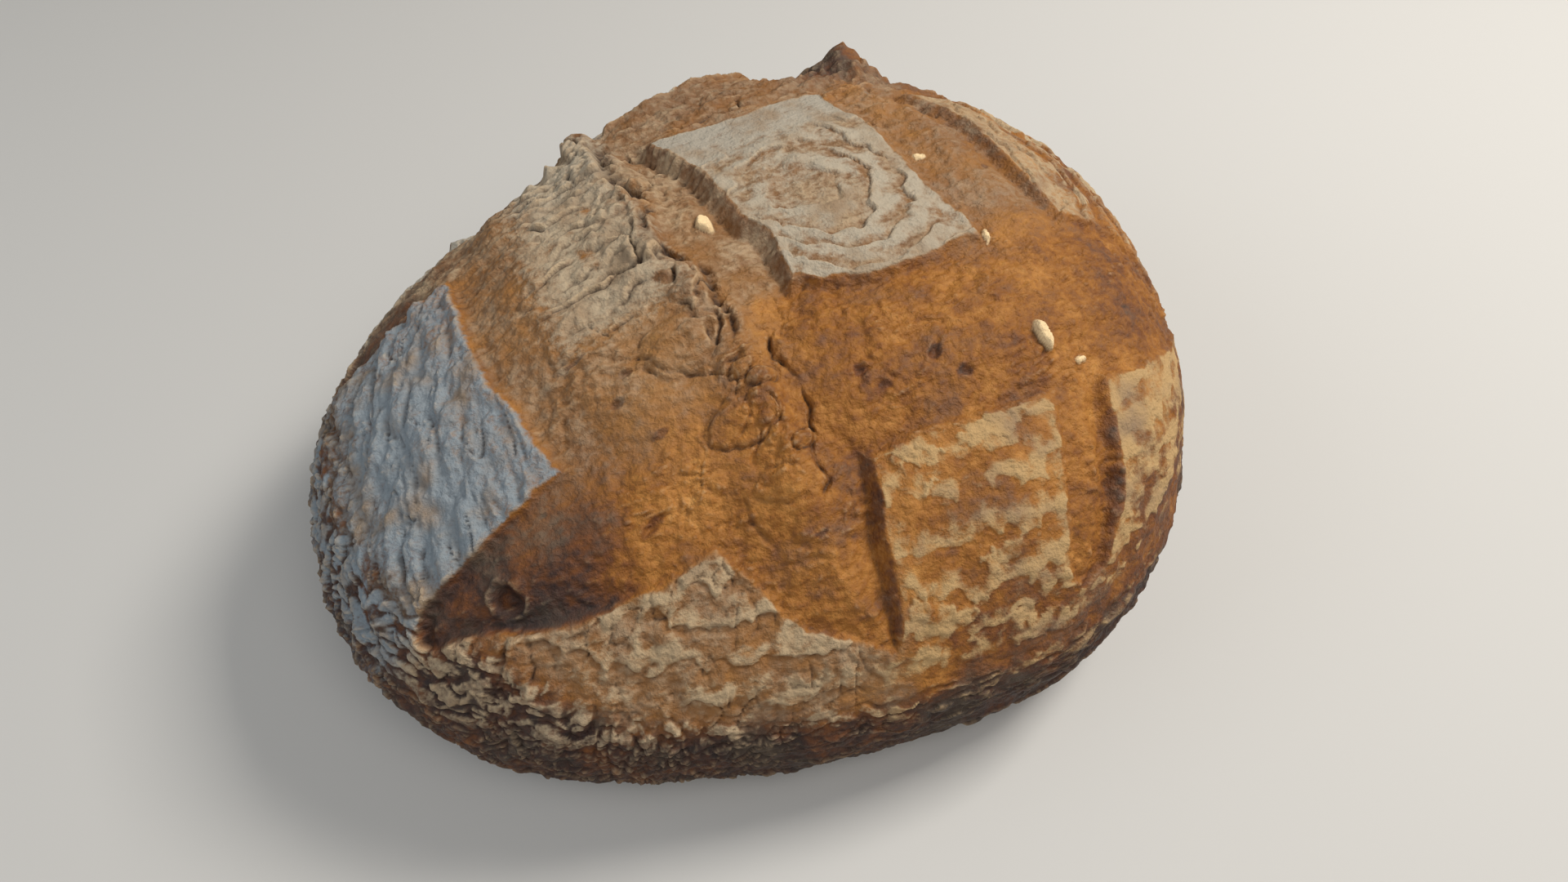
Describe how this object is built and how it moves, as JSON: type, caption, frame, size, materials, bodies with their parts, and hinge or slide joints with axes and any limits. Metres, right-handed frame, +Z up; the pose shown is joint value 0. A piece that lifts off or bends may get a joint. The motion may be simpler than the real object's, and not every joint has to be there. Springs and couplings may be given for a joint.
{
  "type": "sourdough loaf",
  "caption": "Round free-standing sourdough loaf with a domed crust, a grid of score cuts with raised floured skin between them, and a flat base",
  "frame": {"origin": "middle of the loaf's box at the base, on the surface it rests on", "axes": "+X along the longer side, +Y towards the rear, +Z up"},
  "size_m": [0.2396, 0.2114, 0.095],
  "materials": {
    "crust": "dry baked crust, orange-brown in the cuts and dusted with pale flour on the skin"
  },
  "bodies": {
    "root": {"sourdough_loaf": "crust"}
  },
  "joints": []
}
